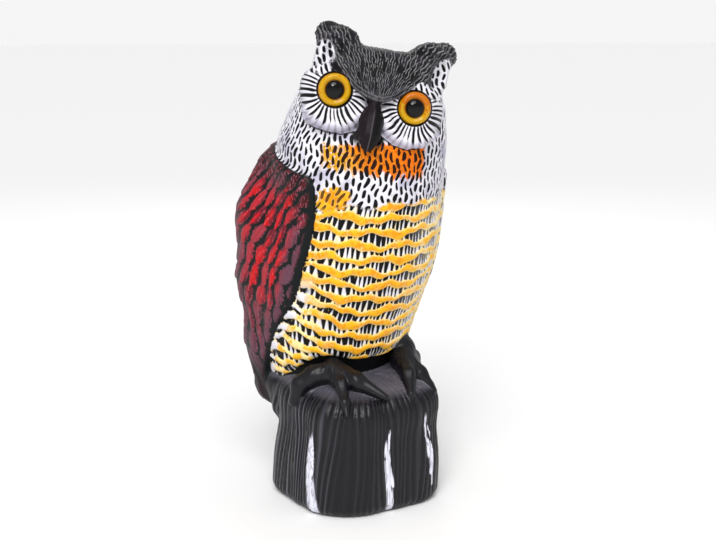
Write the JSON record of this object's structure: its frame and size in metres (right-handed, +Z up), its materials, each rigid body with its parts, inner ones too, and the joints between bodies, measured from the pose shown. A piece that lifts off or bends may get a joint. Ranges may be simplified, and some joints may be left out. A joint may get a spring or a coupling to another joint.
{
  "type": "owl garden figure",
  "caption": "Horned owl figure in painted plastic, standing on a round-cornered grooved stump with its head turned and tilted, with glossy set-in eyes.",
  "frame": {"origin": "middle of the bounding box on the ground, under the stump", "axes": "+Z up, the breast and the stump's front towards -Y, the owl's own left wing towards +X"},
  "size_m": [0.1848, 0.2061, 0.4345],
  "materials": {
    "painted_body": "satin paint over moulded plastic: red wings, yellow and white breast, black and white head, black stump",
    "eye": "gloss, amber ring round a black pupil"
  },
  "bodies": {
    "root": {"owl_body": "painted_body", "right_eye": "eye", "left_eye": "eye"}
  },
  "joints": []
}
